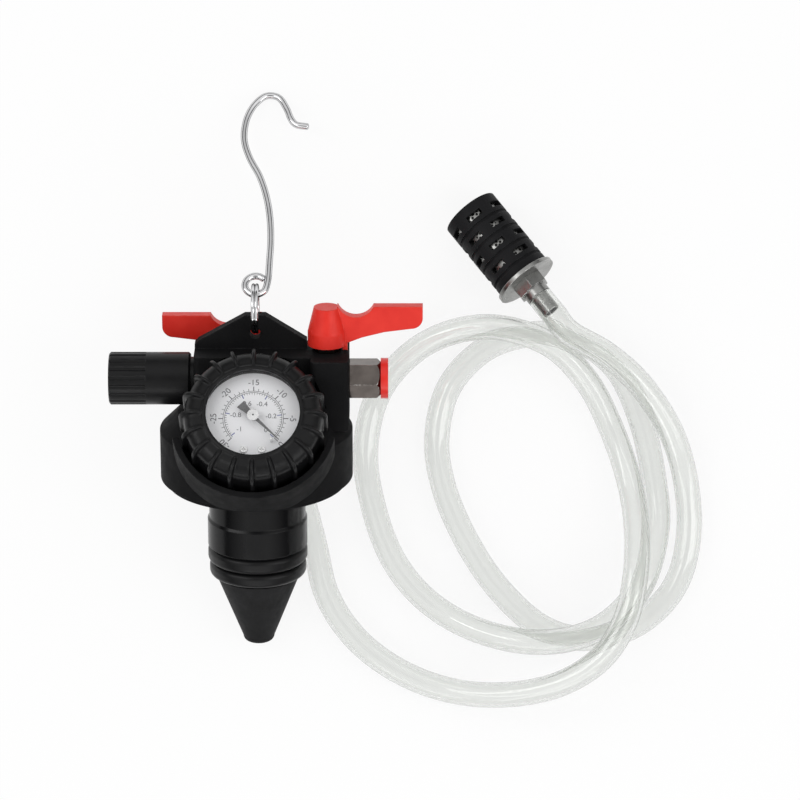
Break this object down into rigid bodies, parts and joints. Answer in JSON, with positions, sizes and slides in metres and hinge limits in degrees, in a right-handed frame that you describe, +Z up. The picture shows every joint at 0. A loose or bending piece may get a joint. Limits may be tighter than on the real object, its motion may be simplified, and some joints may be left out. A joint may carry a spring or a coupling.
{
  "type": "coolant refill tool",
  "caption": "Vacuum coolant refill tool with a booted gauge, lever valves, silencer, air inlet, rubber filler cone, hook and a clear hose with a strainer, lying on its back.",
  "frame": {"origin": "middle of the flat at the back of the lower housing, on which the tool lies", "axes": "+Z up from the table, +Y along the table towards the hook, +X to the right seen facing the gauge"},
  "size_m": [0.291, 0.3059, 0.1107],
  "materials": {
    "black_plastic": "fine-grained moulded black plastic",
    "rubber": "smooth black rubber",
    "red_plastic": "satin red plastic",
    "nickel": "nickel plate",
    "chrome": "bright chrome plate",
    "brass": "turned brass",
    "dial_white": "white printed dial",
    "needle_dark": "dark painted metal",
    "lens": "clear lens",
    "white_plastic": "white sealing plastic",
    "porous": "porous grey filter",
    "clear_pvc": "clear flexible tube"
  },
  "bodies": {
    "housing": {"body_housing": "black_plastic", "neck_sleeve": "black_plastic", "neck_seal": "rubber", "cone_stem": "brass", "rubber_cone": "rubber", "gauge_case": "black_plastic", "gauge_boot": "rubber", "gauge_dial": "dial_white", "gauge_lens": "lens", "gauge_stem": "brass", "bourdon_tube": "brass", "movement_frame": "brass", "dial_screws": "chrome", "zero_stop": "chrome", "air_valve_seats": "white_plastic", "air_gland_nut": "nickel", "coolant_valve_seats": "white_plastic", "coolant_gland_nut": "nickel", "coolant_valve_plug": "black_plastic", "stem_seals": "rubber", "venturi_nozzle": "brass", "silencer_body": "black_plastic", "silencer_insert": "porous", "inlet_fitting": "nickel", "hose_barb": "brass", "hose": "clear_pvc", "strainer_fitting": "nickel", "strainer_flange": "nickel", "strainer_cage": "black_plastic", "strainer_mesh": "chrome"},
    "air_lever": {"air_lever": "red_plastic", "air_valve_stem": "nickel", "air_valve_ball": "chrome"},
    "coolant_lever": {"coolant_lever": "red_plastic", "coolant_valve_stem": "nickel", "coolant_valve_ball": "chrome"},
    "needle": {"needle": "needle_dark", "needle_spindle": "chrome"},
    "cap": {"inlet_cap": "red_plastic"},
    "ring": {"split_ring": "chrome"},
    "hook": {"hook": "chrome"}
  },
  "joints": [
    {"name": "air_lever_turn", "type": "hinge", "parent": "housing", "child": "air_lever", "pos_m": [0.0346, 0.02503, 0.05638], "axis": [0, -0.9396, -0.3424], "range_deg": [0, 90]},
    {"name": "coolant_lever_turn", "type": "hinge", "parent": "housing", "child": "coolant_lever", "pos_m": [0, 0.02147, 0.02527], "axis": [0, -0.9396, -0.3424], "range_deg": [0, 90]},
    {"name": "needle_sweep", "type": "hinge", "parent": "housing", "child": "needle", "pos_m": [0, 0.00554, 0.08972], "axis": [0, 0.4223, 0.9065], "range_deg": [0, 270]},
    {"name": "cap_pull", "type": "slide", "parent": "housing", "child": "cap", "axis": [1, 0, 0], "range_m": [0, 0.03]},
    {"name": "ring_turn", "type": "hinge", "parent": "housing", "child": "ring", "pos_m": [0, 0.05874, 0.06334], "axis": [1, 0, 0], "range_deg": [-15, 90]},
    {"name": "hook_swing", "type": "hinge", "parent": "ring", "child": "hook", "pos_m": [0, 0.07015, 0.0568], "axis": [0, 0.4969, 0.8678], "range_deg": [-45, 45]}
  ]
}
